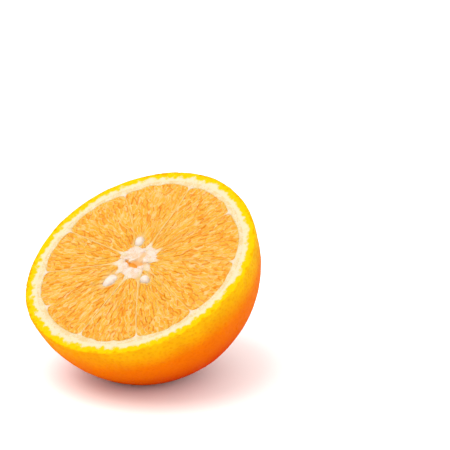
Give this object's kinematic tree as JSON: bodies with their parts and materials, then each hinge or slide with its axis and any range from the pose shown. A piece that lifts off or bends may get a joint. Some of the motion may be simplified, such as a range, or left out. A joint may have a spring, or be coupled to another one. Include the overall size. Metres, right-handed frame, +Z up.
{
  "type": "orange half",
  "caption": "Half of a sweet orange, cut across its middle, leaning on a small flat of its rind with the juicy cut face and its pips showing.",
  "frame": {"origin": "centre of the small flat spot that the rind rests on", "axes": "+Z up from the surface it rests on; +X along the cut face, level; the cut face looks up and towards -Y, leaning 30.3 degrees"},
  "size_m": [0.0794, 0.0755, 0.0607],
  "materials": {
    "orange_rind": "waxy, finely pitted peel",
    "white_pith": "matt and spongy",
    "orange_flesh": "wet and translucent",
    "pip_skin": "smooth and damp"
  },
  "bodies": {
    "root": {"orange_half": "orange_rind", "seed_1": "pip_skin", "seed_2": "pip_skin", "seed_3": "pip_skin"}
  },
  "joints": []
}
